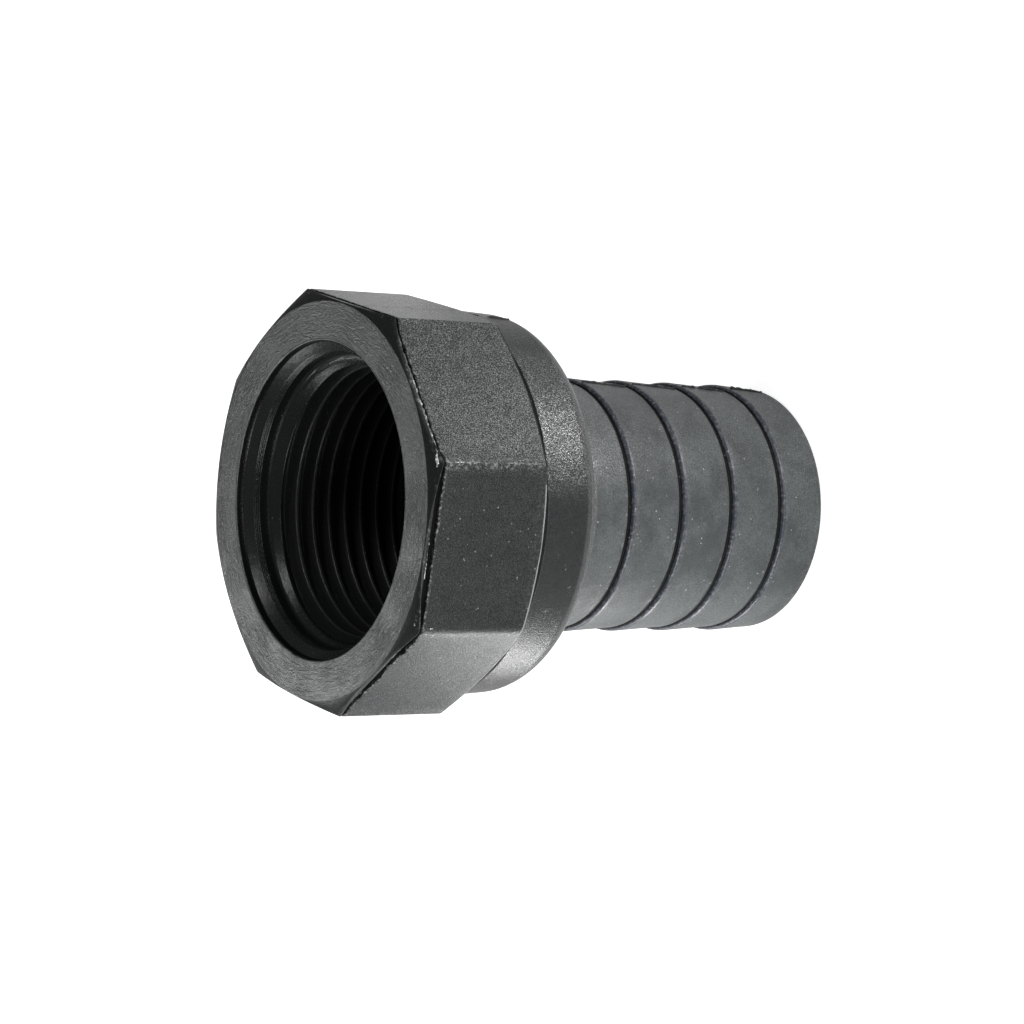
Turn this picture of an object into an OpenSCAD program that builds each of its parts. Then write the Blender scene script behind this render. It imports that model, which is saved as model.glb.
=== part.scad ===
// Female threaded hose tail, moulded in one piece.
// Axis on Z, the threaded mouth up, the free end of the tail standing on z = 0.
// All sizes in millimetres. Places along the axis are measured back from the
// mouth face, as on the drawing of such a fitting.

/* [Collar] */
// Width of the eight-sided collar across its flats
collar_flats = 45; // [44:0.25:47]
// From the mouth face to the rear edge of a flat, at its middle
collar_len = 15.3; // [13:0.1:16.5]
// Slope of the chamfers on the collar's corners, in degrees
corner_slope = 25; // [15:1:32]
// Start of the parting groove behind the mouth face
groove_start = 0.5; // [0.3:0.05:0.8]
// End of the parting groove, where the flats begin
groove_end = 1.4; // [1.1:0.05:2.2]
// Depth of the parting groove
groove_depth = 0.5; // [0.2:0.05:0.8]

/* [Shoulder] */
// Step down from the middle of a flat to the shoulder drum
drum_step = 0.35; // [0.1:0.05:0.6]
// Radius of the shoulder drum at its rear end
drum_r = 21.85; // [20.6:0.05:22.1]
// From the mouth face to the start of the drum's rounded rear edge
drum_len = 20.9; // [19:0.1:22.5]
// Rounding of that rear edge
drum_round = 3; // [1.5:0.1:3.6]
// Fillet between the shoulder's rear face and the tail
neck_fillet = 2; // [0.8:0.1:2.4]

/* [Thread socket] */
// Radius of the plain land at the mouth
mouth_r = 17.85; // [17.3:0.05:18.4]
// Depth of that land
mouth_land = 0.6; // [0.3:0.05:1]
// Radius of the relief in front of the thread, just over its major radius
relief_r = 16.75; // [16.65:0.05:17]
// From the mouth face to the end of the relief
relief_len = 3.6; // [2.6:0.1:4.5]
// Radius of the socket's wall at the crests of its thread
thread_crest_r = 15.25; // [15.1:0.01:15.4]
// Pitch of the thread, drawn here as rings
thread_pitch = 2.21; // [2.1:0.01:2.4]
// Depth of the thread between crest and root
thread_depth = 1.3; // [0.9:0.05:1.4]
// Half of the angle between a thread's flanks, in degrees
flank_angle = 30; // [27:0.5:30]
// Thickness left between the socket's floor and the shoulder's rear face
floor_wall = 2.3; // [1.8:0.1:3.2]

/* [Hose tail] */
// Overall length of the fitting
total_len = 62; // [60:0.5:74]
// Radius over the crests of the barbs
barb_r = 14.92; // [14.6:0.02:15.3]
// Height of the step at the start of each barb
barb_step = 0.38; // [0.2:0.02:0.6]
// From the mouth face to the first step
barb_start = 32.85; // [30:0.05:34]
// Length of one barb
barb_pitch = 7.4; // [5:0.1:7.6]
// Number of barbs
barb_count = 4; // [2:1:4]
// Rounding of the tail's free end
end_round = 1.2; // [0.5:0.1:1.5]
// Radius of the water passage
bore_r = 11.8; // [10.5:0.1:12.2]
// Chamfer where the passage meets the socket's floor
floor_chamfer = 1.2; // [0.5:0.1:1.6]
// Chamfer where the passage leaves the free end
exit_chamfer = 0.5; // [0.2:0.1:0.6]

/* [Hidden] */
flat_r = collar_flats / 2;
corner_r = flat_r / cos(22.5);
shoulder_len = drum_len + drum_round;
socket_depth = shoulder_len - floor_wall;
valley_r = barb_r - barb_step;
thread_start = relief_len + relief_r - thread_crest_r;
thread_land = thread_pitch / 6;
flank_len = thread_depth * tan(flank_angle);
thread_count = floor((socket_depth - thread_start - thread_land) / thread_pitch);
end_r = barb_r - 0.85 * barb_step;
last_step = barb_start + (barb_count - 1) * barb_pitch;
// amount by which a cutting body runs past the face that it opens
past = 1;
smooth = 96;

// Height above the floor of a place measured back from the mouth face.
function up(back) = total_len - back;

// Outline of the collar's turned envelope: the flat mouth face and the
// cones that cut the eight corners at the front and at the rear.
module corner_cones() {
    wide_r = corner_r + past;
    rise = (wide_r - flat_r) * tan(corner_slope);
    rotate_extrude($fn = smooth)
        polygon([
            [0, up(collar_len)],
            [flat_r, up(collar_len)],
            [wide_r, up(collar_len) + rise],
            [wide_r, up(0) - rise],
            [flat_r, up(0)],
            [0, up(0)]
        ]);
}

// Octagonal bar along the axis, a flat towards each of X and Y.
module octagon(across_r, from, to) {
    translate([0, 0, up(to)])
        rotate([0, 0, 22.5])
            cylinder(r = across_r / cos(22.5), h = to - from, $fn = 8);
}

module collar() {
    intersection() {
        octagon(flat_r, -past, collar_len + past);
        corner_cones();
    }
}

// Shallow groove that the mould's parting line leaves round the collar.
module parting_groove() {
    difference() {
        translate([0, 0, up(groove_end)])
            cylinder(r = corner_r + past, h = groove_end - groove_start, $fn = smooth);
        octagon(flat_r - groove_depth, groove_start - past, groove_end + past);
    }
}

// Slightly tapered drum with a rounded rear edge and a fillet into the tail.
module shoulder() {
    edge_r = drum_r - drum_round;
    rotate_extrude($fn = smooth)
        union() {
            polygon([
                [0, up(shoulder_len)],
                [edge_r, up(shoulder_len)],
                [edge_r, up(drum_len)],
                [drum_r, up(drum_len)],
                [flat_r - drum_step, up(collar_len)],
                [flat_r - drum_step, up(collar_len - past)],
                [0, up(collar_len - past)]
            ]);
            translate([edge_r, up(drum_len)])
                circle(r = drum_round, $fn = smooth);
            difference() {
                translate([0, up(shoulder_len + neck_fillet)])
                    square([barb_r + neck_fillet, neck_fillet]);
                translate([barb_r + neck_fillet, up(shoulder_len + neck_fillet)])
                    circle(r = neck_fillet, $fn = smooth);
            }
        }
}

// Ramp that narrows from one radius to another between two places.
module ramp(from, to, from_r, to_r) {
    translate([0, 0, up(to)])
        cylinder(r1 = to_r, r2 = from_r, h = to - from, $fn = smooth);
}

// One barb: a short step that faces the collar, then its ramp.
module barb(start, finish, finish_r) {
    ramp(start, start + barb_step, valley_r, barb_r);
    ramp(start + barb_step, finish, barb_r, finish_r);
}

module tail() {
    round_start = total_len - end_round;
    ramp(shoulder_len, barb_start, barb_r, valley_r);
    for (i = [0 : barb_count - 2])
        barb(barb_start + i * barb_pitch, barb_start + (i + 1) * barb_pitch, valley_r);
    barb(last_step, round_start, end_r);
    rotate_extrude($fn = smooth)
        union() {
            square([end_r - end_round, end_round]);
            intersection() {
                translate([end_r - end_round, end_round])
                    circle(r = end_round, $fn = smooth);
                square([end_r, end_round]);
            }
        }
}

// Outline of one thread groove, from the crest before it to the crest after.
function thread_groove(start) = [
    [thread_crest_r, up(start + thread_land)],
    [thread_crest_r + thread_depth, up(start + thread_land + flank_len)],
    [thread_crest_r + thread_depth, up(start + thread_pitch - flank_len)],
    [thread_crest_r, up(start + thread_pitch)]
];

// The way through: mouth, relief, thread, floor and water passage.
module way_through() {
    rotate_extrude($fn = smooth)
        polygon([
            [0, up(-past)],
            [mouth_r, up(-past)],
            [mouth_r, up(mouth_land)],
            [relief_r, up(mouth_land + mouth_r - relief_r)],
            [relief_r, up(relief_len)],
            [thread_crest_r, up(thread_start)],
            for (i = [0 : thread_count - 1])
                each thread_groove(thread_start + i * thread_pitch),
            [thread_crest_r, up(socket_depth)],
            [bore_r + floor_chamfer, up(socket_depth)],
            [bore_r, up(socket_depth + floor_chamfer)],
            [bore_r, exit_chamfer],
            [bore_r + exit_chamfer + past, -past],
            [0, -past]
        ]);
}

module hose_tail() {
    color([0.22, 0.23, 0.24])
        difference() {
            union() {
                collar();
                shoulder();
                tail();
            }
            parting_groove();
            way_through();
        }
}

hose_tail();
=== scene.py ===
import bpy
import math
import numpy as np
from mathutils import Matrix, Vector


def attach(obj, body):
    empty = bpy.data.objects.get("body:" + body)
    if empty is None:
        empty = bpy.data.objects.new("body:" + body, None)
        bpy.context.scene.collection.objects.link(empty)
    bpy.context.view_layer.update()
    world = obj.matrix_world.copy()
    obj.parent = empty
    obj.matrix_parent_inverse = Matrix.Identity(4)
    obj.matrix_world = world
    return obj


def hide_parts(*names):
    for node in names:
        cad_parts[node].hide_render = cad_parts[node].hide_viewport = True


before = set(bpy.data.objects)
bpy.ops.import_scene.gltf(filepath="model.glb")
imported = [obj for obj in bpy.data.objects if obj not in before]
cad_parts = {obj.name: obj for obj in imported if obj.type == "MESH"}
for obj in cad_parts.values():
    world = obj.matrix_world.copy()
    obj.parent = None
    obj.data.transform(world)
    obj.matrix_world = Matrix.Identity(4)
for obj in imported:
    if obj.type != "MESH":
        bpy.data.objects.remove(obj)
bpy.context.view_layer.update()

# ---- the fitting's sizes in mm; "back" is always a place measured back from the mouth face ----
MM = 0.001
LENGTH = 62.0
FLAT_R = 22.42                       # middle of a flat, a little inside the CAD model's
CORNER_ROUND, SOFT_CORNER_ROUND = 0.32, 2.1
CONE_ANGLE = 25.0                    # slope of the cones that cut the collar's corners
SLOPE = math.tan(math.radians(CONE_ANGLE))
FACE_R = 22.3                        # where the mouth face ends and the front cone starts
GROOVE_START, GROOVE_DEPTH = 0.5, 0.5
# where the parting groove ends on each flat, clockwise from the flat A-B
GROOVE_ENDS = np.array([1.3, 0.94, 1.20, 1.25, 1.1, 1.2, 1.1, 1.2])
GROOVE_EDGE = 0.1                    # rounding of the groove's rear edge
COLLAR_LEN = 15.3
DRUM_START = COLLAR_LEN + 0.12
DRUM_FRONT_R, DRUM_R, DRUM_LEN, DRUM_ROUND = 22.15, 21.85, 20.9, 3.0
NECK_FILLET = 2.0
MOUTH_R, MOUTH_ROUND, LAND = 17.85, 0.14, 1.0
RELIEF_R, RELIEF_START = 16.75, 1.80
FINE_RINGS, RING_DEPTH = (1.92, 2.17, 2.42), 0.08
LEAD_START, LEAD_BEND = 3.45, 0.5    # where the relief bends into the cone that cuts the thread
CREST_R, ROOT_R = 15.27, 16.6
PITCH, THREAD_PHASE, TURNS = 2.209, 0.70, 7
SOCKET, FLOOR_CHAMFER = 21.6, 1.25
BORE_R = 11.8
BARB_R, VALLEY_R, END_R = 14.92, 14.54, 14.6
BARB_START, BARB_PITCH, BARBS = 32.85, 7.4, 4
END_ROUND = 1.2

# ---- angles round the axis ----
# A "turn" is an angle in degrees, clockwise from the photograph's upward direction as seen from
# the mouth. UP_ANGLE is that direction's angle in the frame. The corners are called A to H,
# clockwise; the photograph shows A to E on its right.
UP_ANGLE = 13.17
CORNER_A = -9.33
SECTOR, HALF_SECTOR = 45.0, 22.5
WORN_CORNER, SOFT_CORNER = 2, 3      # C is rubbed white, D is worn round
LIGHT_MOUTH_EDGE = (195.0, 335.0)    # turns between which the mouth's edge gets a painted highlight
LIGHT_RIM = (84.0, 176.0)            # where the collar's rear edge gets a painted highlight
DARK_RIM = (36.0, 81.0)              # and where it gets painted shade

# ---- columns of the body: denser beside the eight corners ----
BESIDE_CORNER = [0.19, 0.37, 0.62, 1.1, 2.0, 3.3, 4.9, 6.6, 8.4, 10.2, 12.0, 13.8, 15.6, 17.4,
                 19.2, 20.9]
FIRST_COLUMN = 90.0 + UP_ANGLE
turn = []
for k in range(8):
    corner = FIRST_COLUMN + HALF_SECTOR + SECTOR * k
    turn += [corner - HALF_SECTOR] + [corner - d for d in reversed(BESIDE_CORNER)]
    turn += [corner] + [corner + d for d in BESIDE_CORNER]
turn = np.array(turn)
COLS = len(turn)
row_angle = np.radians(UP_ANGLE - turn)
off_corner = np.abs(np.degrees(row_angle) % SECTOR - HALF_SECTOR)


def octagon_r(flat_r, rounding):
    """Radius, at every column, of an octagon with rounded corners."""
    off = np.radians(off_corner)
    half = math.radians(HALF_SECTOR)
    straight = flat_r / np.cos(half - off)
    centre = (flat_r - rounding) / math.cos(half)
    inside = rounding ** 2 - (centre * np.sin(off)) ** 2
    rounded = centre * np.cos(off) + np.sqrt(np.maximum(inside, 0.0))
    tangent = np.arctan2(rounding * math.sin(half), centre + rounding * math.cos(half))
    return np.where(off < tangent, rounded, straight)


def wave(seed, step):
    """Smooth seeded noise from -1 to 1 round the columns, a knot every so many degrees."""
    n = int(360 / step)
    knots = np.random.default_rng(seed).uniform(-1.0, 1.0, n)
    u = (turn - turn[0]) / 360.0 * n
    i = np.floor(u).astype(int)
    f = u - i
    f = f * f * (3 - 2 * f)
    return knots[i % n] * (1 - f) + knots[(i + 1) % n] * f


# ---- rows of the body, from the mouth's edge inwards, through the bore and back outside ----
(FACE, GROOVE, FLAT, DRUM, TAIL, BORE, THREAD, PAINTED_SHADE, CAP, CREST, LANDS, RELIEF, EDGE_LINE, REAR_RIM_LIGHT,
 PALE_RIM_LIGHT, RIM_LIGHT_FADE) = range(16)   # zones, each with a material of its own
rows = []          # radius and place back of every row, at every column
zones = []         # zone of the band of faces that ends at the row
wear_and_shade = []          # how worn the row is: 1 is rubbed light, and below 0 is painted shade


def row(r, back, zone, worn=0.0):
    rows.append([np.broadcast_to(np.asarray(v, float), (COLS,)) for v in (r, back)])
    zones.append(zone)
    wear_and_shade.append(worn)


def arc(centre_r, centre_back, rad, first, last, steps, zone, worn=0.0, skip_first=False):
    """Rows on an arc between two angles; 0 is outward, and 90 is away from the mouth."""
    for i in range(int(skip_first), steps + 1):
        angle = math.radians(first + (last - first) * i / steps)
        row(centre_r + rad * math.cos(angle), centre_back + rad * math.sin(angle), zone, worn)


# ---- mouth edge, land, relief with its fine rings ----
MOUTH_EDGE_STEPS = 4
arc(MOUTH_R + MOUTH_ROUND, MOUTH_ROUND, MOUTH_ROUND, 270, 180, MOUTH_EDGE_STEPS, CAP, 0.15)
# the land is near-black: painted shade
row(MOUTH_R, 0.4, LANDS)
row(MOUTH_R, LAND - 0.07, LANDS)
row(MOUTH_R - 0.06, LAND + 0.02, LANDS)
row(RELIEF_R + 0.10, RELIEF_START - 0.10, BORE)
row(RELIEF_R + 0.01, RELIEF_START, BORE)
# the fine rings' grooves, and the relief from 2.58 on, get a darker nylon than the bore: painted
# shade in the recesses
for ring in FINE_RINGS:
    row(RELIEF_R, ring - 0.05, BORE)
    row(RELIEF_R + RING_DEPTH, ring - 0.02, RELIEF)
    row(RELIEF_R + RING_DEPTH, ring + 0.02, RELIEF)
    row(RELIEF_R - 0.02, ring + 0.05, RELIEF, 0.2)
row(RELIEF_R, 2.58, BORE)
row(RELIEF_R, 3.0, RELIEF)

# ---- thread: helical rows, with a fan of rows before and after them ----
# one turn of it: share of the pitch, and depth from 0 at a crest to 1 at a root
PROFILE = [(0.0, 0.0), (0.06, 0.0), (0.10, 0.06), (0.25, 0.5), (0.39, 0.93), (0.43, 1.0),
           (0.5, 1.0), (0.57, 1.0), (0.61, 0.93), (0.75, 0.5), (0.90, 0.06), (0.94, 0.0)]
PER_TURN = len(PROFILE)
swept = (turn - turn[0]) / 360.0
crest_at = THREAD_PHASE + PITCH * turn / 360.0      # one crest's place at every column
thread_top = crest_at[0] + PITCH
thread_end = thread_top + PITCH * (TURNS + 1)


def lead_in(back):
    """Radius of the relief and the soft cone behind it, which cut the first crests."""
    t = np.clip((back - LEAD_START) / LEAD_BEND, 0, 1)
    half_bend = LEAD_BEND / 2
    fall = np.where(back > LEAD_START + LEAD_BEND, back - LEAD_START - half_bend, half_bend * t * t)
    return np.maximum(RELIEF_R - fall, CREST_R - 0.5)


def thread_r(depth, back, fade=1.0):
    """Radius of the socket's wall where the thread is this deep, cut by the lead-in."""
    r = CREST_R + (ROOT_R - CREST_R) * depth * fade
    lead = lead_in(back)
    blend = 0.08
    h = np.clip(0.5 + 0.5 * (r - lead) / blend, 0, 1)
    return lead * (1 - h) + r * h + blend * h * (1 - h)


def thread_depth(back):
    """Depth of the thread, 0 at a crest and 1 at a root, wherever the row stands."""
    phase = ((back - crest_at) / PITCH) % 1.0
    shares, depths = zip(*PROFILE, (1.0, 0.0))
    return np.interp(phase, shares, depths)


row(RELIEF_R, thread_top, RELIEF)
fan_start = len(rows) - 1
for j in range(1, PER_TURN):
    place = thread_top + PITCH * swept * (j / PER_TURN)
    row(thread_r(thread_depth(place), place), place, THREAD)
helix_start = len(rows)
for lap in range(TURNS):
    for share, depth in PROFILE:
        place = thread_top + PITCH * (lap + share + swept)
        row(thread_r(depth, place), place, THREAD)
helix_end = len(rows)
last_lap = thread_top + PITCH * (TURNS + swept)
for j in range(PER_TURN):
    place = last_lap + (thread_end - last_lap) * (j / PER_TURN)
    row(thread_r(thread_depth(place), place, 1 - swept), place, THREAD)
row(CREST_R, thread_end, THREAD)
fan_end = len(rows) - 1

# ---- socket floor, water passage, end face ----
row(CREST_R, SOCKET - 0.12, THREAD)
row(CREST_R - 0.12, SOCKET, THREAD)
row(14.0, SOCKET, BORE)
row(BORE_R + FLOOR_CHAMFER, SOCKET, BORE)
row(BORE_R + FLOOR_CHAMFER - 0.15, SOCKET + 0.08, BORE)
row(BORE_R + 0.1, SOCKET + FLOOR_CHAMFER - 0.15, BORE)
row(BORE_R, SOCKET + FLOOR_CHAMFER, BORE)
for place in (27, 32, 38, 44, 50, 56, 60, 61.3):
    row(BORE_R, place, BORE)
row(BORE_R + 0.06, LENGTH - 0.5, CAP)
row(BORE_R + 0.4, LENGTH - 0.1, CAP)
row(BORE_R + 0.55, LENGTH, CAP)
row(12.9, LENGTH, CAP)
row(END_R - END_ROUND - 0.02, LENGTH, CAP)
arc(END_R - END_ROUND, LENGTH - END_ROUND, END_ROUND, 90, 0, 8, TAIL, 0.3)

# ---- barbs, from the free end towards the shoulder ----
# a barb's rounded front: place behind its step, and how far it lies below the crest
BARB_FRONT = [(0.75, 0.0), (0.60, 0.01), (0.46, 0.04), (0.34, 0.11), (0.25, 0.21), (0.19, 0.34)]
# the undercut before it: place behind the step, and depth below the valley
BARB_ROOT = [(0.13, 0.13), (0.02, 0.17), (-0.10, 0.15), (-0.20, 0.06), (-0.28, 0.02)]
for i in reversed(range(BARBS)):
    step = BARB_START + i * BARB_PITCH
    crest = step + BARB_FRONT[0][0]
    finish, low, shares = step + BARB_PITCH, VALLEY_R, (0.78, 0.5, 0.25, 0.08)
    if i == BARBS - 1:
        finish, low, shares = LENGTH - END_ROUND, END_R, (0.97, 0.75, 0.5, 0.25, 0.08)
    for share in shares:
        row(BARB_R - 0.005 + (low - BARB_R) * share, crest + (finish - 0.35 - crest) * share, TAIL)
    for behind, below in BARB_FRONT:
        row(BARB_R - below, step + behind, TAIL if behind > 0.5 else CREST, 0.3)
    # the undercut at the barb's root gets painted shade
    for behind, below in BARB_ROOT:
        row(VALLEY_R - below, step + behind, PAINTED_SHADE)
    # painted shade before the step, with pale spots in it
    row(VALLEY_R, step - 0.36, TAIL, np.where(wave(40 + i, 1.1) > 0.62, 1.3, -0.9))
    row(VALLEY_R, step - 0.70, TAIL, -0.4)
    row(VALLEY_R, step - 1.3, TAIL)

# ---- neck, fillet, rear face, drum ----
drum_back = DRUM_LEN + DRUM_ROUND
neck_start = drum_back + NECK_FILLET
for share in (0.7, 0.5, 0.3):
    row(BARB_R + (VALLEY_R - BARB_R) * share,
        neck_start + (BARB_START - neck_start) * share, TAIL)
# the fillet's tail side takes the pale nylon of the painted rim highlight
arc(BARB_R + NECK_FILLET, neck_start, NECK_FILLET, 180, 225, 4, PALE_RIM_LIGHT)
arc(BARB_R + NECK_FILLET, neck_start, NECK_FILLET, 225, 270, 4, DRUM, skip_first=True)
row(DRUM_R - DRUM_ROUND - 0.6, drum_back, DRUM)
# the drum's rounding is paler in its middle, a painted rim highlight where the photograph has a
# light rim
for first, last, steps, zone in ((90, 64, 5, DRUM), (64, 28, 8, PALE_RIM_LIGHT),
                                 (28, 12, 3, RIM_LIGHT_FADE), (12, 2, 2, DRUM)):
    arc(DRUM_R - DRUM_ROUND, DRUM_LEN, DRUM_ROUND, first, last, steps, zone,
        skip_first=first < 90)
for share in (0.0, 0.25, 0.5, 0.75, 0.88):
    row(DRUM_R + (DRUM_FRONT_R - DRUM_R) * share, DRUM_LEN + (DRUM_START - DRUM_LEN) * share, DRUM)
# thin recess between the drum and the collar, with painted shade in it
row(DRUM_FRONT_R - 0.02, COLLAR_LEN + 0.58, DRUM)
row(DRUM_FRONT_R - 0.12, COLLAR_LEN + 0.48, PAINTED_SHADE)
row(DRUM_FRONT_R - 0.14, COLLAR_LEN + 0.24, PAINTED_SHADE)
row(DRUM_FRONT_R + 0.06, COLLAR_LEN + 0.09, PAINTED_SHADE)

# ---- rear edge of the collar: cone, rounding, flats ----
sector = (turn - CORNER_A) % 360.0 / SECTOR         # 0 at corner A, 1 at B, and so on
nearest = np.round(sector).astype(int)
oct_r = octagon_r(FLAT_R, np.where(nearest % 8 == SOFT_CORNER, SOFT_CORNER_ROUND, CORNER_ROUND))
cone_back = COLLAR_LEN - (oct_r - FLAT_R) * SLOPE
cone_len = (oct_r - DRUM_FRONT_R) / math.cos(math.radians(CONE_ANGLE))
bend = 90.0 - CONE_ANGLE                            # from the cone to the flats
tan_half = math.tan(math.radians(bend / 2))
rear_round = np.minimum(0.5, 0.8 * cone_len / tan_half)
share = 0.55 * rear_round * tan_half / cone_len + 0.45
row(oct_r + (DRUM_FRONT_R - oct_r) * share, cone_back + (DRUM_START - cone_back) * share, FLAT)
REAR_STEPS = 6
# the rounding's middle rows are the rear rim, which gets painted highlight or painted shade by turn
for k in range(REAR_STEPS + 1):
    angle = math.radians(bend - bend * k / REAR_STEPS)
    row(oct_r - rear_round + rear_round * math.cos(angle),
        cone_back - rear_round * tan_half + rear_round * math.sin(angle),
        REAR_RIM_LIGHT if 1 < k < REAR_STEPS else FLAT, 0.12)
for place in (13.4, 12.6, 11.0, 9.0, 7.0, 5.0, 3.2, 2.2):
    row(oct_r, place, FLAT)

# ---- parting groove: a width of its own on each flat, and a ragged rear edge on D-E ----
on_flat = GROOVE_ENDS[np.floor(sector).astype(int) % 8]
on_corner = (GROOVE_ENDS[nearest % 8] + GROOVE_ENDS[(nearest - 1) % 8]) / 2
near = np.clip(1 - off_corner / 1.2, 0, 1)
lip_back = (oct_r - FACE_R) * SLOPE                 # where the front cone meets the collar
groove_front = np.maximum(GROOVE_START, lip_back + 0.10) + 0.05
ragged = np.where((sector > 3.04) & (sector < 3.96), 7.0, 1.0)
groove_end = np.maximum(on_flat * (1 - near) + on_corner * near, groove_front + 0.2)
groove_end = groove_end + 0.04 * ragged * wave(7, 1.7)
groove_r = octagon_r(FLAT_R - GROOVE_DEPTH, CORNER_ROUND)
row(oct_r, groove_end + 0.35, FLAT)
row(oct_r, groove_end + GROOVE_EDGE + 0.05 * wave(5, 2.2), FLAT, 1.0)
row(oct_r - GROOVE_EDGE * 0.7, groove_end + 0.02, FLAT, 0.8)
# the groove's faces are near-black: painted shade
row(groove_r + 0.05, groove_end, GROOVE)
row(groove_r, groove_end - 0.06, GROOVE)
row(groove_r, groove_front + 0.04, GROOVE)
row(groove_r + 0.04, groove_front, GROOVE)
row(oct_r - 0.04, groove_front - 0.05, GROOVE, 0.3)

# ---- front cone with rubbed spots along its lip, mouth face ----
rubbed_lip = np.clip(0.3 + 1.1 * wave(11, 2.3), 0, 1) / ragged
row(oct_r, np.maximum(groove_front - 0.12, lip_back + 0.03), CAP, rubbed_lip)
row(oct_r - 0.03, np.maximum(lip_back - 0.01, 0.02), CAP, 0.6 * rubbed_lip)
row(FACE_R + (oct_r - FACE_R) * 0.5 + 0.02, lip_back * 0.5 + 0.01, CAP)
row(FACE_R + 0.06, 0.03, CAP)
row(FACE_R - 0.06, 0.005, CAP, 0.2)
row(FACE_R - 0.16, 0.0, FACE, 0.2)
for r in (21.4, 20.6, 19.8, 19.0, 18.4, 18.1):
    row(r, 0.0, FACE)

# ---- the body's faces ----
count = len(rows)
radius, back = (np.array(v) for v in zip(*rows))
points = np.stack([radius * np.cos(row_angle), radius * np.sin(row_angle), LENGTH - back], -1)
points = points.reshape(-1, 3)
index = np.arange(count * COLS).reshape(count, COLS)
# the rows of the first fan all start in one point
index[fan_start + 1:helix_start, 0] = index[fan_start, 0]


def vertex(i, c):
    """Index of a row's vertex; past the last column a helical row goes on as a later row."""
    i %= count
    if c < COLS:
        return index[i, c]
    if fan_start < i < helix_start:
        return index[helix_start + (i - fan_start), 0]
    if helix_start <= i < helix_end:
        return index[i + PER_TURN, 0]
    if helix_end <= i < fan_end:
        return index[fan_end, 0]
    return index[i, 0]


def zone_of(i, c, quad):
    """Zone of a face: its band's, apart from the thread's crests with their painted highlight, and
    the edges whose painted highlight or shade varies round the axis.
    """
    zone = zones[(i + 1) % count]
    at = turn[c] % 360.0
    if zone == THREAD and i < fan_end:
        r, place = (np.mean(values.flat[quad]) for values in (radius, back))
        # the cone that cuts the first crests looks like the bore
        if place < 5.3 and r < RELIEF_R - 0.2 and abs(r - lead_in(place)) < 0.15:
            return BORE
        # crests get a paler nylon than the flanks: painted highlight
        return EDGE_LINE if r < CREST_R + 0.10 else THREAD
    # the mouth's edge on the left gets the pale nylon: painted highlight
    if i < MOUTH_EDGE_STEPS and LIGHT_MOUTH_EDGE[0] < at < LIGHT_MOUTH_EDGE[1]:
        return PALE_RIM_LIGHT
    # the rear rim keeps its painted highlight only within LIGHT_RIM, and gets painted shade within
    # DARK_RIM
    if zone == REAR_RIM_LIGHT and not LIGHT_RIM[0] < at < LIGHT_RIM[1]:
        return PAINTED_SHADE if DARK_RIM[0] < at < DARK_RIM[1] else FLAT
    return zone


faces = []
face_zones = []
for i in range(count):
    for c in range(COLS):
        quad = [vertex(i, c), vertex(i + 1, c), vertex(i + 1, c + 1), vertex(i, c + 1)]
        corners = [v for n, v in enumerate(quad) if v != quad[n - 1]]
        if len(corners) >= 3:
            faces.append(corners)
            face_zones.append(zone_of(i, c, quad))


def build(name, points_mm, faces, materials, face_zones=None, worn=None, sparkle_and_glint=None):
    """Smooth object with its normals outward, its zones and the values stored on its points."""
    mesh = bpy.data.meshes.new(name)
    used = sorted(set(int(v) for f in faces for v in f))
    remap = {v: n for n, v in enumerate(used)}
    mesh.from_pydata([tuple(points_mm[v] * MM) for v in used], [],
                     [[remap[int(v)] for v in f] for f in faces])
    mesh.validate()
    for material in materials:
        mesh.materials.append(material)
    if face_zones is not None:
        mesh.polygons.foreach_set("material_index", np.array(face_zones, dtype=np.int32))
    for key, values in (("wear_and_shade", worn), ("sparkle_and_glint", sparkle_and_glint)):
        if values is not None:
            att = mesh.attributes.new(key, "FLOAT", "POINT")
            att.data.foreach_set("value", np.array([values[v] for v in used], dtype=np.float32))
    mesh.polygons.foreach_set("use_smooth", [True] * len(mesh.polygons))
    obj = bpy.data.objects.new(name, mesh)
    bpy.context.scene.collection.objects.link(obj)
    volume = 0.0
    mesh.calc_loop_triangles()
    for triangle in mesh.loop_triangles:
        a, b, c = (mesh.vertices[v].co for v in triangle.vertices)
        volume += a.dot(b.cross(c))
    if volume < 0:
        mesh.flip_normals()
    mesh.update()
    return obj


# ---- materials ----
GLINT = (0.25, 0.255, 0.255)
FLECK = (0.40, 0.41, 0.41)
RUBBED = (0.33, 0.34, 0.34)
# painted shade: the colour where the stored value for rubbing and shade is below 0
CREASE_SHADE = (0.004, 0.004, 0.005)


def maths(tree, operation, *values):
    """Output of a math node that takes numbers and sockets."""
    node = tree.nodes.new("ShaderNodeMath")
    node.operation = operation
    for k, value in enumerate(values):
        if isinstance(value, (int, float)):
            node.inputs[k].default_value = value
        else:
            tree.links.new(value, node.inputs[k])
    return node.outputs[0]


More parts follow.
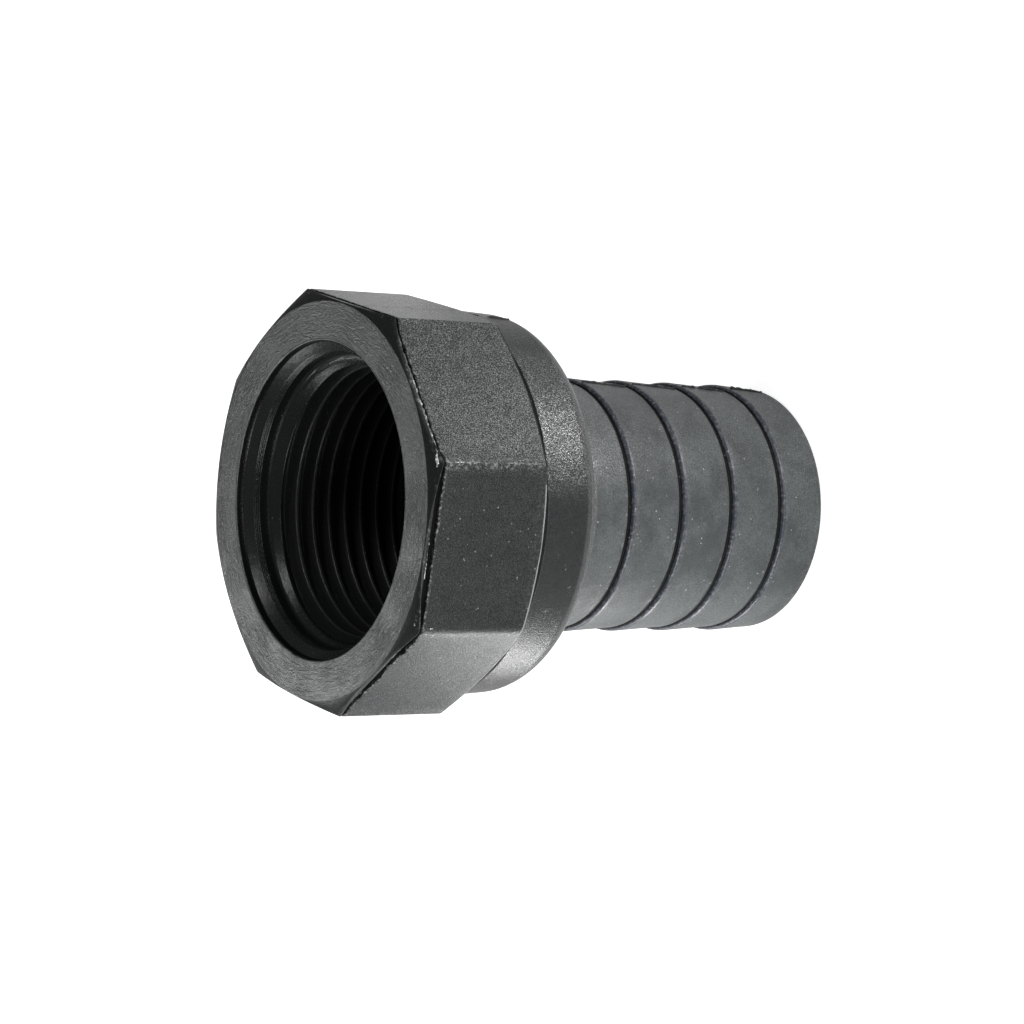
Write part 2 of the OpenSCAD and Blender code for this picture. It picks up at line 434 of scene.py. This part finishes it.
def nylon(name, colour, rough, spec=0.5, speckle=0.25, grain=0.05, fleck=0.6, worn=0.4,
          streak=0.0, cloud=0.1, sparkle=0.15, broad=0.0):
    """Charcoal glass-filled nylon; its lengths are in mm.

    speckle is the contrast of the fine grain, and grain is its relief. fleck and worn are the
    strength of the pale flecks and of the rubbing on edges, where the mesh's stored value for
    rubbing and shade is above 0; below 0 that value darkens the colour to painted shade. streak is
    the relief of scuffs round the axis. cloud and broad are the strength of small light and large
    dark patches, and sparkle that of the glints where the mesh's stored glint value is high:
    painted glints in the colour, and a higher specular level.
    """
    mat = bpy.data.materials.new(name)
    mat.use_nodes = True
    t = mat.node_tree
    t.nodes.clear()
    out = t.nodes.new("ShaderNodeOutputMaterial")
    bsdf = t.nodes.new("ShaderNodeBsdfPrincipled")
    bsdf.inputs["Specular IOR Level"].default_value = spec
    bsdf.inputs["IOR"].default_value = 1.5
    t.links.new(bsdf.outputs[0], out.inputs[0])
    coord = t.nodes.new("ShaderNodeTexCoord")

    def mapped(scale):
        n = t.nodes.new("ShaderNodeMapping")
        n.inputs["Scale"].default_value = scale
        t.links.new(coord.outputs["Object"], n.inputs["Vector"])
        return n.outputs[0]

    place = mapped((1 / MM, 1 / MM, 1 / MM))

    def noise(scale, detail=2.0, roughness=0.6, source=place, distortion=0.0):
        n = t.nodes.new("ShaderNodeTexNoise")
        for key, v in (("Scale", scale), ("Detail", detail), ("Roughness", roughness),
                       ("Distortion", distortion)):
            n.inputs[key].default_value = v
        t.links.new(source, n.inputs["Vector"])
        return n.outputs["Fac"]

    def cells(scale):
        n = t.nodes.new("ShaderNodeTexVoronoi")
        n.inputs["Scale"].default_value = scale
        t.links.new(place, n.inputs["Vector"])
        return n.outputs["Distance"]

    def ramp(source, low, high, a=0.0, b=1.0):
        n = t.nodes.new("ShaderNodeMapRange")
        for key, v in (("From Min", low), ("From Max", high), ("To Min", a), ("To Max", b)):
            n.inputs[key].default_value = v
        t.links.new(source, n.inputs["Value"])
        return n.outputs["Result"]

    def times(*values):
        return maths(t, "MULTIPLY", *values)

    def mix(fac, a, b):
        n = t.nodes.new("ShaderNodeMix")
        n.data_type = "RGBA"
        t.links.new(fac, n.inputs["Factor"])
        for key, v in (("A", a), ("B", b)):
            socket = [s for s in n.inputs if s.name == key and s.type == "RGBA"][0]
            if isinstance(v, tuple):
                socket.default_value = (*v, 1.0)
            else:
                t.links.new(v, socket)
        return [s for s in n.outputs if s.type == "RGBA"][0]

    def vector_maths(operation, *sources):
        n = t.nodes.new("ShaderNodeVectorMath")
        n.operation = operation
        for k, source in enumerate(sources):
            t.links.new(source, n.inputs[k])
        return n

    def round_axis(along, across):
        """Coordinates that stretch a noise round the fitting's axis, with no seam."""
        flat = mapped((1, 1, 0))
        ring = vector_maths("SCALE", vector_maths("NORMALIZE", flat).outputs[0])
        ring.inputs["Scale"].default_value = along
        lift = t.nodes.new("ShaderNodeCombineXYZ")
        from_axis = vector_maths("LENGTH", flat).outputs["Value"]
        t.links.new(times(from_axis, across / MM), lift.inputs["Z"])
        return vector_maths("ADD", ring.outputs[0], lift.outputs[0]).outputs[0]

    def stored(key):
        n = t.nodes.new("ShaderNodeAttribute")
        n.attribute_name = key
        return n.outputs["Fac"]

    def tint(share):
        return tuple(c * share for c in colour)

    # colour: grain, patches, scuffs, painted glints, flecks, then rubbed edges and painted shade
    fine = noise(5.2, 2.0, 0.8)
    mid = noise(0.9, 3.0)
    body = mix(ramp(fine, 0.38, 0.68), tint(1 - speckle), tint(1 + 2.2 * speckle))
    body = mix(ramp(mid, 0.35, 0.65, 0.0, cloud), body, tint(1.9))
    if broad:
        body = mix(ramp(noise(0.14, 3.0, 0.7), 0.58, 0.38, 0.0, broad), body, tint(0.45))
    if streak:
        scuff = noise(1.0, 4.0, 0.66, round_axis(11.0, 2.0), 1.6)
        body = mix(ramp(scuff, 0.50, 0.64, 0.0, 0.25), body, tint(2.4))
    dots = ramp(noise(7.5, 1.0, 0.5), 0.46, 0.72)
    glint = times(times(dots, ramp(mid, 0.3, 0.6, 0.6, 1.0)), stored("sparkle_and_glint"))
    # pale dots in the colour: painted glints, strongest where the stored glint value is high
    body = mix(times(glint, 0.35 * sparkle), body, GLINT)
    spot = times(ramp(cells(1.5), 0.17, 0.10), ramp(noise(0.8, 1.0), 0.58, 0.62))
    body = mix(times(spot, fleck), body, FLECK)
    # rubbed edges where the stored value is above 0, painted shade where it is below 0
    wear_and_shade_value = stored("wear_and_shade")
    body = mix(times(wear_and_shade_value, ramp(noise(2.4, 3.0), 0.50, 0.66, 0.0, worn)), body, RUBBED)
    body = mix(times(wear_and_shade_value, -0.75), body, CREASE_SHADE)
    t.links.new(body, bsdf.inputs["Base Color"])

    # gloss
    t.links.new(ramp(fine, 0.3, 0.7, rough + 0.08, rough - 0.08), bsdf.inputs["Roughness"])
    if sparkle:
        t.links.new(ramp(glint, 0.0, 1.0, spec * (1 - 0.7 * sparkle), spec * (1 + 5.0 * sparkle)),
                    bsdf.inputs["Specular IOR Level"])

    # relief
    height = maths(t, "ADD", times(fine, grain), times(mid, 0.03))
    if streak:
        patch = ramp(noise(0.16, 1.0), 0.34, 0.70, 0.3 * streak, 0.9 * streak)
        height = maths(t, "ADD", height, times(scuff, patch))
    bump = t.nodes.new("ShaderNodeBump")
    bump.inputs["Strength"].default_value = 1.0
    bump.inputs["Distance"].default_value = MM
    t.links.new(height, bump.inputs["Height"])
    t.links.new(bump.outputs[0], bsdf.inputs["Normal"])
    return mat


zone_materials = {
    FACE: nylon("nylon_face", (0.046, 0.049, 0.049), 0.34, spec=0.75, speckle=0.35, fleck=0.3,
                worn=0.3, streak=0.27, cloud=0.12, sparkle=0.1),
    # near-black nylon in the parting groove: painted shade
    GROOVE: nylon("nylon_groove_painted_shade", (0.003, 0.003, 0.003), 0.8, spec=0.1, speckle=0.1, fleck=0.0,
                  worn=0.3, sparkle=0.0),
    FLAT: nylon("nylon_flats", (0.022, 0.024, 0.024), 0.32, spec=0.34, speckle=0.4, fleck=0.5,
                worn=0.9, sparkle=1.0, broad=0.25),
    DRUM: nylon("nylon_shoulder", (0.015, 0.016, 0.016), 0.27, spec=0.6, speckle=0.4, worn=0.3,
                sparkle=0.8),
    TAIL: nylon("nylon_tail", (0.062, 0.068, 0.069), 0.42, speckle=0.34, grain=0.04, fleck=0.8,
                worn=0.5, cloud=0.2, sparkle=0.3, broad=0.6),
    CREST: nylon("nylon_barb_crest", (0.026, 0.031, 0.041), 0.32, spec=0.42, grain=0.02,
                 worn=0.9),
    BORE: nylon("nylon_bore", (0.013, 0.0145, 0.0148), 0.25, spec=0.46, speckle=0.2, grain=0.02,
                fleck=0.3, worn=0.3),
    THREAD: nylon("nylon_thread", (0.012, 0.0135, 0.0127), 0.40, spec=0.15, speckle=0.2,
                  grain=0.02, fleck=0.1, worn=0.2, sparkle=0.0),
    # near-black nylon: painted shade in the barbs' roots, the recess behind the collar and the dark
    # part of its rear rim
    PAINTED_SHADE: nylon("nylon_painted_shade", (0.005, 0.005, 0.006), 0.6, spec=0.15, speckle=0.2, fleck=0.2,
                worn=0.3, sparkle=0.0),
    CAP: nylon("nylon_chamfer", (0.010, 0.011, 0.011), 0.36, spec=0.35, speckle=0.3, grain=0.03,
               fleck=0.3, worn=0.9, sparkle=0.1),
    # near-black nylon on the land: painted shade
    LANDS: nylon("nylon_land_painted_shade", (0.004, 0.0043, 0.0042), 0.3, spec=0.25, speckle=0.2, grain=0.02,
                 fleck=0.0, worn=0.3, sparkle=0.0),
    # darker nylon in the relief's recesses: painted shade
    RELIEF: nylon("nylon_relief_painted_shade", (0.006, 0.0068, 0.0068), 0.28, spec=0.4, speckle=0.2,
                  grain=0.02, fleck=0.2, worn=0.5, sparkle=0.05),
    # pale copies of the shoulder's nylon: painted rim highlight on the drum's rounding and the
    # mouth's edge, with a fade at its side
    PALE_RIM_LIGHT: nylon("nylon_pale_painted_rim_light", (0.080, 0.084, 0.084), 0.27, spec=0.6, speckle=0.4,
                     fleck=0.5, worn=0.3, sparkle=0.5),
    RIM_LIGHT_FADE: nylon("nylon_painted_rim_light_fade", (0.036, 0.038, 0.038), 0.27, spec=0.6, speckle=0.4,
                     fleck=0.5, worn=0.3, sparkle=0.6),
    # pale nylon on the collar's rear rim: painted highlight
    REAR_RIM_LIGHT: nylon("nylon_rear_painted_rim_light", (0.21, 0.22, 0.22), 0.30, spec=0.8, speckle=0.3, grain=0.03,
               fleck=0.3, worn=0.3, sparkle=0.2),
    # paler nylon on the thread's crests: painted highlight
    EDGE_LINE: nylon("nylon_thread_crest_painted_highlight", (0.034, 0.037, 0.036), 0.34, spec=0.55, speckle=0.3,
                     grain=0.02, fleck=0.4, worn=0.3),
}

# ---- the values on the body's points, and the body itself ----
# rubbed corners of the collar, most of all near the mouth
corner_wear = np.clip(1 - off_corner / 0.8, 0, 1)
corner_wear = np.where(nearest % 8 == WORN_CORNER, np.clip(1.5 - off_corner / 1.3, 0, 1.3),
                       corner_wear)
corner_wear[nearest % 8 == SOFT_CORNER] = 0.0
wear_and_shade_at = np.stack([
    np.maximum(w, corner_wear * (z == FLAT) * (0.35 + 0.65 * np.exp(-b / 5.0)))
    for w, z, b in zip(wear_and_shade, zones, back)]).reshape(-1)


def glint_between(first, last, smooth):
    """Value of the painted glints: 1 between two turns and on the side opposite, and as low as
    smooth elsewhere.
    """
    half_turn = (turn + 20.0) % 180.0 - 20.0
    inside = np.clip(np.minimum(half_turn - first, last - half_turn) / 8.0, 0, 1)
    return smooth + (1.0 - smooth) * inside


# glints are painted where this value is high: on the flats, the shoulder and most of all the neck
flats_glint = glint_between(-14.0, 84.0, 0.2)
drum_glint = glint_between(38.0, 90.0, 0.07)
NECK_GLINT = 2.6
glint_at = np.stack([
    drum_glint if z in (DRUM, PAINTED_SHADE, PALE_RIM_LIGHT, RIM_LIGHT_FADE)
    else flats_glint * np.where((z == TAIL) & (b < BARB_START), NECK_GLINT, 1.0)
    for z, b in zip(zones, back)]).reshape(-1)
body = build("hose_tail_body", points, faces, [zone_materials[z] for z in sorted(zone_materials)],
             face_zones, wear_and_shade_at, glint_at)
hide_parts("hose_tail")
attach(body, "root")

# ---- flash: ragged fins that the mould's joints leave ----
burr = nylon("nylon_burr", (0.50, 0.51, 0.51), 0.4, spec=0.6, speckle=0.85, grain=0.10, fleck=0.4,
             worn=0.3, cloud=0.0)
flash = nylon("nylon_flash", (0.15, 0.153, 0.153), 0.45, speckle=0.5, grain=0.08, fleck=0.2,
              worn=0.3)
dark_flash = nylon("nylon_dark_flash", (0.010, 0.010, 0.011), 0.5, spec=0.4, speckle=0.4,
                   grain=0.08, fleck=0.5, worn=0.3)
SUNK = 0.18        # how far a fin's root lies inside the body
FIN_STEP = 0.16    # between two samples of a fin round the collar


def noise_line(seed, length, step, rough=0.5):
    """Seeded noise from 0 to 1 along a line, at every sample of a length in mm."""
    g = np.random.default_rng(seed)
    total = np.zeros(len(length))
    size = 0.0
    for octave in range(3):
        knots = g.uniform(0, 1, int(length[-1] / step) + 3)
        total += rough ** octave * np.interp(length / step, np.arange(len(knots)), knots)
        size += rough ** octave
        step /= 2.6
    return total / size


def sink(height, share):
    """A fin's height where the share is 1; where it is 0, its tip lies inside the body."""
    return height * share - SUNK * 0.5 * (1 - share)


def fin(name, base, outward, across, height, thick, material):
    """Closed thin ribbon that stands on a line of points."""
    n = len(base)
    tip = base + outward * height[:, None]
    root = base - outward * SUNK
    half = across * (thick / 2)[:, None]
    ring = np.stack([root - half, tip - half * 0.4, tip + half * 0.4, root + half], 1)
    faces = []
    for i in range(n - 1):
        for k in range(4):
            a, b = 4 * i + k, 4 * i + (k + 1) % 4
            faces.append([a, b, b + 4, a + 4])
    faces += [[3, 2, 1, 0], [4 * n - 4, 4 * n - 3, 4 * n - 2, 4 * n - 1]]
    obj = build(name, ring.reshape(-1, 3), faces, [material])
    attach(obj, "root")


def collar_fin(name, first, last, at_back, low, high, cover, seed, material, thick, lean,
               grit=0.9):
    """Ragged fin between two turns in the parting groove, from its floor towards the flats.

    Its height is from low to high, over the share of its length that cover gives. lean is how
    far its place wanders with its height, and grit is the length of its teeth.
    """
    samples = int(abs(last - first) / 360 * 2 * math.pi * FLAT_R / FIN_STEP)
    psi = np.radians(UP_ANGLE - np.linspace(first, last, samples))
    length = np.arange(samples) * FIN_STEP
    off_middle = np.abs((np.degrees(psi) + HALF_SECTOR) % SECTOR - HALF_SECTOR)
    floor_r = (FLAT_R - GROOVE_DEPTH) / np.cos(np.radians(off_middle))
    ragged = noise_line(seed, length, grit, 0.75)
    there = np.clip((noise_line(seed + 1, length, 2.6) - (1 - cover)) * 6, 0, 1)
    taper = np.clip(np.minimum(length, length[-1] - length) / 1.6, 0, 1)
    height = sink(sink(low + (high - low) * ragged, there), taper)
    wander = lean * (ragged - 0.5) + 0.08 * (noise_line(seed + 2, length, 1.2) - 0.5)
    outward = np.stack([np.cos(psi), np.sin(psi), np.zeros(samples)], -1)
    base = floor_r[:, None] * outward
    base[:, 2] = LENGTH - (at_back + wander)
    width = thick * (0.6 + 0.8 * noise_line(seed + 3, length, 0.8 * grit))
    fin(name, base, outward, np.array([0, 0, 1.0]), height, width, material)


def parting_fin(name, at_turn, start, finish, low, high, cover, seed, material, thick=0.16,
                grit=0.8):
    """Ragged fin along the fitting, on the column nearest to a turn."""
    column = int(np.argmin(np.abs((turn - at_turn + 180) % 360 - 180)))
    outside = next(i for i, z in enumerate(zones) if z == TAIL)
    order = np.argsort(back[outside:, column], kind="stable")
    place = np.arange(start, finish, 0.175 * grit)
    surface = np.interp(place, back[outside:, column][order], radius[outside:, column][order])
    psi = math.radians(UP_ANGLE - at_turn)
    if start < COLLAR_LEN:
        surface = np.minimum(surface, FLAT_R / abs(math.cos(psi)))
    length = place - place[0]
    ragged = noise_line(seed, length, grit, 0.8)
    there = np.clip((noise_line(seed + 1, length, 2.75 * grit) - (1 - cover)) * 5, 0, 1)
    height = sink(low + (high - low) * ragged ** 1.5, there)
    outward = np.array([math.cos(psi), math.sin(psi), 0.0])
    side = np.array([-math.sin(psi), math.cos(psi), 0.0])
    wander = 0.10 * (noise_line(seed + 4, length, 1.5) - 0.5)
    base = surface[:, None] * outward + wander[:, None] * side
    base[:, 2] = LENGTH - place
    width = thick * (0.3 + 1.3 * noise_line(seed + 3, length, grit))
    fin(name, base, outward, side, height, width, material)


def scratch(name, at_turn, start, lean, length, seed):
    """Raised edge of a scratch on a flat of the collar."""
    share = np.linspace(0, 1, int(length / 0.12))
    psi = math.radians(UP_ANGLE - at_turn)
    flat = math.radians(SECTOR * round(math.degrees(psi) / SECTOR))
    outward = np.array([math.cos(flat), math.sin(flat), 0.0])
    side = np.array([-math.sin(flat), math.cos(flat), 0.0])
    across = (share - 0.5) * lean + 0.05 * (noise_line(seed, share * length, 0.6) - 0.5)
    base = FLAT_R * outward + (FLAT_R * math.tan(psi - flat) + across)[:, None] * side
    base[:, 2] = LENGTH - start - share * length * 0.25
    height = 0.05 * np.sin(math.pi * share) ** 0.5
    fin(name, base, outward, np.array([0, 0, 1.0]), height, np.full(len(share), 0.10), dark_flash)


corner_turn = [CORNER_A + SECTOR * k for k in range(9)]
BESIDE = 0.8       # turn between a fin in the groove and the corner that it ends at
# the flash in the groove, flat by flat from A-B: low, high, cover, place back, material, thick
GROOVE_FLASH = [
    (0.10, 0.50, 0.55, 0.72, flash, 0.16),
    (0.36, 0.54, 0.95, 0.60, flash, 0.20),
    (0.05, 0.42, 0.38, 0.62, flash, 0.14),
    (0.15, 0.45, 0.60, 0.75, dark_flash, 0.30),
    (0.10, 0.50, 0.50, 0.75, flash, 0.20),
    (0.10, 0.50, 0.60, 0.75, dark_flash, 0.25),
    (0.10, 0.50, 0.50, 0.70, flash, 0.20),
    (0.10, 0.50, 0.60, 0.75, flash, 0.20),
]
for k, (low, high, cover, at_back, material, thick) in enumerate(GROOVE_FLASH):
    collar_fin(f"groove_flash_{k + 1}", corner_turn[k] + BESIDE, corner_turn[k + 1] - BESIDE,
               at_back, low, high, cover, 100 + 10 * k, material, thick, 0.25)
# white shreds: a ribbon that ends at corner C, and flecks on the flat C-D
collar_fin("groove_ribbon", corner_turn[1] + 15.0, corner_turn[2] + BESIDE, 0.62,
           0.26, 0.62, 0.88, 310, burr, 0.26, 0.20, 0.4)
collar_fin("groove_flecks", corner_turn[2] + BESIDE, corner_turn[3] - BESIDE, 0.55,
           0.20, 0.54, 0.55, 300, burr, 0.12, 0.1)

# the two lines where the halves of the mould met
PARTING_TURN = 17.0
for side, at_turn, seed in (("upper", PARTING_TURN, 500), ("lower", PARTING_TURN + 180, 600)):
    parting_fin(f"parting_collar_{side}", at_turn, 1.6, 14.2, 0.01, 0.07, 0.75, seed, flash, 0.12)
    parting_fin(f"parting_shoulder_{side}", at_turn, 15.9, 21.6, 0.08, 0.32, 0.8, seed + 20,
                dark_flash)
    parting_fin(f"parting_neck_{side}", at_turn, 27.0, 32.4, 0.03, 0.22, 0.7, seed + 40,
                dark_flash)
    for i in range(BARBS):
        start = BARB_START + i * BARB_PITCH + 0.5
        finish = min(start + BARB_PITCH - 0.9, LENGTH - END_ROUND - 0.2)
        parting_fin(f"parting_barb_{side}_{i + 1}", at_turn, start, finish, 0.10, 0.50, 0.85,
                    seed + 60 + 20 * i, dark_flash, 0.3)

# burrs on the corners C and D, scratches on the flat C-D
parting_fin("corner_burr_front", corner_turn[2] - 0.2, 1.1, 3.6, 0.00, 0.05, 0.50, 902,
            burr, 0.20, 0.25)
parting_fin("corner_burr_back", corner_turn[2] - 0.3, 3.0, 14.0, 0.00, 0.06, 0.55, 905,
            flash, 0.30, 0.3)
scratch("scratch_long", 117.0, 3.6, 3.4, 3.5, 950)
scratch("scratch_short", 120.5, 4.6, 1.2, 1.3, 960)
parting_fin("corner_burr_low", corner_turn[3] - 0.8, 1.3, 2.6, 0.00, 0.06, 0.60, 920, burr, 0.25)

# ---- floor: white to the camera, and dim in reflections ----
FLOOR_HALF = 4.0
FLOOR_GLOW, FLOOR_MIRRORED = 0.76, 0.10
floor_mesh = bpy.data.meshes.new("floor")
floor_mesh.from_pydata([(x * FLOOR_HALF, y * FLOOR_HALF, 0)
                        for x, y in ((-1, -1), (1, -1), (1, 1), (-1, 1))], [], [(0, 1, 2, 3)])
floor = bpy.data.objects.new("floor", floor_mesh)
bpy.context.scene.collection.objects.link(floor)
floor_material = bpy.data.materials.new("floor_white")
floor_material.use_nodes = True
tree = floor_material.node_tree
tree.nodes.clear()
output = tree.nodes.new("ShaderNodeOutputMaterial")
diffuse = tree.nodes.new("ShaderNodeBsdfDiffuse")
diffuse.inputs["Color"].default_value = (0.86, 0.86, 0.86, 1)
glow = tree.nodes.new("ShaderNodeEmission")
glow.inputs["Color"].default_value = (1, 1, 1, 1)
rays = tree.nodes.new("ShaderNodeLightPath").outputs
mirrored = maths(tree, "MAXIMUM", rays["Is Glossy Ray"], rays["Is Transmission Ray"])
mirrored = maths(tree, "MULTIPLY", mirrored, FLOOR_MIRRORED)
level = maths(tree, "MULTIPLY_ADD", rays["Is Camera Ray"], FLOOR_GLOW, mirrored)
tree.links.new(level, glow.inputs["Strength"])
both = tree.nodes.new("ShaderNodeAddShader")
tree.links.new(diffuse.outputs[0], both.inputs[0])
tree.links.new(glow.outputs[0], both.inputs[1])
tree.links.new(both.outputs[0], output.inputs[0])
floor_mesh.materials.append(floor_material)

# ---- world: white to the camera, and a weak light on the object ----
SKY = 0.10
world = bpy.data.worlds.new("studio")
bpy.context.scene.world = world
world.use_nodes = True
tree = world.node_tree
background = tree.nodes["Background"]
background.inputs["Color"].default_value = (1, 1, 1, 1)
rays = tree.nodes.new("ShaderNodeLightPath").outputs
level = maths(tree, "MULTIPLY_ADD", rays["Is Camera Ray"], 1.0 - SKY, SKY)
tree.links.new(level, background.inputs["Strength"])


# ---- lamps, in metres ----
def lamp(name, at, size, watts, aim=(0, 0, 0.035)):
    """Round soft lamp that the camera doesn't see."""
    data = bpy.data.lights.new(name, "AREA")
    data.shape = "DISK"
    data.size = size
    data.energy = watts
    obj = bpy.data.objects.new(name, data)
    bpy.context.scene.collection.objects.link(obj)
    obj.rotation_mode = "QUATERNION"
    obj.rotation_quaternion = (Vector(aim) - Vector(at)).to_track_quat("-Z", "Y")
    obj.location = at
    obj.visible_camera = False


lamp("key_softbox", (0.52, -0.02, 0.52), 0.16, 0.55)
lamp("front_softbox", (0.40, -0.60, 0.20), 0.35, 0.66)
lamp("front_low_softbox", (0.35, -0.75, 0.08), 0.25, 0.33)
lamp("tail_softbox", (0.10, -0.60, 0.03), 0.20, 0.70)
lamp("low_softbox", (-0.28, -0.45, 0.12), 0.34, 2.4)
lamp("rear_softbox", (-0.14, 0.245, 0.237), 0.14, 0.40, (0, 0, 0.055))
lamp("left_softbox", (-0.75, 0.20, 0.15), 0.45, 2.9)
lamp("side_strip", (0.061, -0.055, 0.004), 0.034, 0.038, (0.012, -0.018, 0.042))
lamp("side_strip_far", (0.098, -0.024, 0.004), 0.03, 0.0045, (0.014, -0.016, 0.05))
lamp("top_strip", (0.041, 0.075, 0.004), 0.03, 0.0016, (0.022, 0.0, 0.05))
lamp("back_strip", (-0.070, -0.018, 0.004), 0.026, 0.049, (-0.012, -0.014, 0.050))

# ---- camera: place in mm, directions and focal length were solved from the photograph ----
IMAGE_PX, FOCAL_PX = 1024, 3121.8
SENSOR = 36.0
cam_data = bpy.data.cameras.new("camera")
cam_data.sensor_width = SENSOR
cam_data.lens = FOCAL_PX / IMAGE_PX * SENSOR
cam_data.clip_start = 0.01
cam_data.clip_end = 20
cam = bpy.data.objects.new("camera", cam_data)
bpy.context.scene.collection.objects.link(cam)
away = Vector((-0.17900, 0.79721, -0.57658))
right = away.cross(Vector((0.97364, 0.22780, 0.01271))).normalized()
up = right.cross(away).normalized()
turned = Matrix((right, up, -away.normalized())).transposed().to_4x4()
cam.matrix_world = Matrix.Translation(Vector((64.10, -289.88, 244.83)) * MM) @ turned
bpy.context.scene.camera = cam
bpy.context.scene.view_settings.view_transform = "Standard"

bpy.context.view_layer.update()
